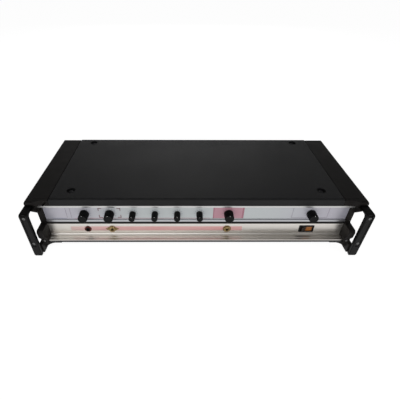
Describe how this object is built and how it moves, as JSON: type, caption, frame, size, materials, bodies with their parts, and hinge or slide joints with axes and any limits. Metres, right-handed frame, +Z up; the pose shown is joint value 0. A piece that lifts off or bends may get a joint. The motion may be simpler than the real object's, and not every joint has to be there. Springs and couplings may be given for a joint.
{
  "type": "guitar amplifier head",
  "caption": "Wide low guitar amplifier head with a steel case, moulded end cheeks, forward strap handles, rotary knobs, jack sockets and a lit rocker switch.",
  "frame": {"origin": "middle of the floor under the whole object", "axes": "+Z up, +Y to the rear, +X to the right seen from the front"},
  "size_m": [0.73, 0.318, 0.1295],
  "materials": {
    "cover_black": "fine leather-grain satin",
    "moulded_black": "satin moulded",
    "strap_black": "semi-gloss moulded",
    "soft_black": "matt",
    "black_steel": "satin paint",
    "plated_steel": "zinc plated",
    "screw_dark": "blackened",
    "bright_aluminium": "satin anodised",
    "facia_pale": "milky translucent",
    "light_film": "matt film",
    "knob_black": "satin",
    "shaft_steel": "turned",
    "socket_black": "moulded",
    "socket_brass": "worn plated brass",
    "inlet_black": "moulded",
    "rocker_amber": "translucent amber",
    "lamp_glow": "small neon lamp",
    "sink_black": "black anodised",
    "core_steel": "varnished laminations",
    "winding_copper": "taped winding",
    "can_sleeve": "sleeved can",
    "board_green": "circuit laminate",
    "part_mix": "small components"
  },
  "bodies": {
    "case": {"top_cover": "cover_black", "left_cheek": "moulded_black", "right_cheek": "moulded_black", "left_handle": "strap_black", "right_handle": "strap_black", "grip_strips": "soft_black", "rubber_feet": "soft_black", "chassis_tray": "black_steel", "rear_panel": "black_steel", "switch_housing": "black_steel", "front_plate": "plated_steel", "transformer_clamp": "plated_steel", "capacitor_clips": "plated_steel", "board_posts": "plated_steel", "chassis_screws": "plated_steel", "cover_screws": "screw_dark", "grip_screws": "screw_dark", "panel_trim": "bright_aluminium", "lower_panel": "bright_aluminium", "facia_panel": "facia_pale", "facia_backlight": "light_film", "rocker_pin": "shaft_steel", "potentiometers": "shaft_steel", "pot_nuts": "shaft_steel", "input_jack_a": "socket_black", "speaker_jacks": "socket_black", "black_jack_nut": "socket_black", "fuse_holder": "socket_black", "fuse_cap": "socket_black", "input_jack_b": "socket_brass", "line_jack": "socket_brass", "jack_nuts": "socket_brass", "mains_inlet": "inlet_black", "rocker_lamp": "lamp_glow", "heatsink": "sink_black", "transformer_core": "core_steel", "output_transistors": "core_steel", "bridge_rectifier": "core_steel", "transformer_winding": "winding_copper", "reservoir_capacitors": "can_sleeve", "preamp_board": "board_green", "power_board": "board_green", "board_parts": "part_mix"},
    "gain_a": {"gain_knob_a": "knob_black", "gain_shaft_a": "shaft_steel"},
    "gain_b": {"gain_knob_b": "knob_black", "gain_shaft_b": "shaft_steel"},
    "tone_1": {"tone_knob_1": "knob_black", "tone_shaft_1": "shaft_steel"},
    "tone_2": {"tone_knob_2": "knob_black", "tone_shaft_2": "shaft_steel"},
    "tone_3": {"tone_knob_3": "knob_black", "tone_shaft_3": "shaft_steel"},
    "tone_4": {"tone_knob_4": "knob_black", "tone_shaft_4": "shaft_steel"},
    "level": {"level_knob": "knob_black", "level_shaft": "shaft_steel"},
    "master": {"master_knob": "knob_black", "master_shaft": "shaft_steel"},
    "rocker": {"power_rocker": "rocker_amber"}
  },
  "joints": [
    {"name": "gain_a_turn", "type": "hinge", "parent": "case", "child": "gain_a", "pos_m": [-0.2455, -0.1275, 0.091], "axis": [0, 1, 0], "range_deg": [-150, 150]},
    {"name": "gain_b_turn", "type": "hinge", "parent": "case", "child": "gain_b", "pos_m": [-0.1905, -0.1275, 0.091], "axis": [0, 1, 0], "range_deg": [-150, 150]},
    {"name": "tone_1_turn", "type": "hinge", "parent": "case", "child": "tone_1", "pos_m": [-0.14, -0.1275, 0.091], "axis": [0, 1, 0], "range_deg": [-150, 150]},
    {"name": "tone_2_turn", "type": "hinge", "parent": "case", "child": "tone_2", "pos_m": [-0.0912, -0.1275, 0.091], "axis": [0, 1, 0], "range_deg": [-150, 150]},
    {"name": "tone_3_turn", "type": "hinge", "parent": "case", "child": "tone_3", "pos_m": [-0.0424, -0.1275, 0.091], "axis": [0, 1, 0], "range_deg": [-150, 150]},
    {"name": "tone_4_turn", "type": "hinge", "parent": "case", "child": "tone_4", "pos_m": [0.0064, -0.1275, 0.091], "axis": [0, 1, 0], "range_deg": [-150, 150]},
    {"name": "level_turn", "type": "hinge", "parent": "case", "child": "level", "pos_m": [0.0705, -0.1275, 0.091], "axis": [0, 1, 0], "range_deg": [-150, 150]},
    {"name": "master_turn", "type": "hinge", "parent": "case", "child": "master", "pos_m": [0.2525, -0.1275, 0.091], "axis": [0, 1, 0], "range_deg": [-150, 150]},
    {"name": "rocker_tilt", "type": "hinge", "parent": "case", "child": "rocker", "pos_m": [0.2525, -0.1135, 0.046], "axis": [0, 0, -1], "range_deg": [0, 18]}
  ]
}
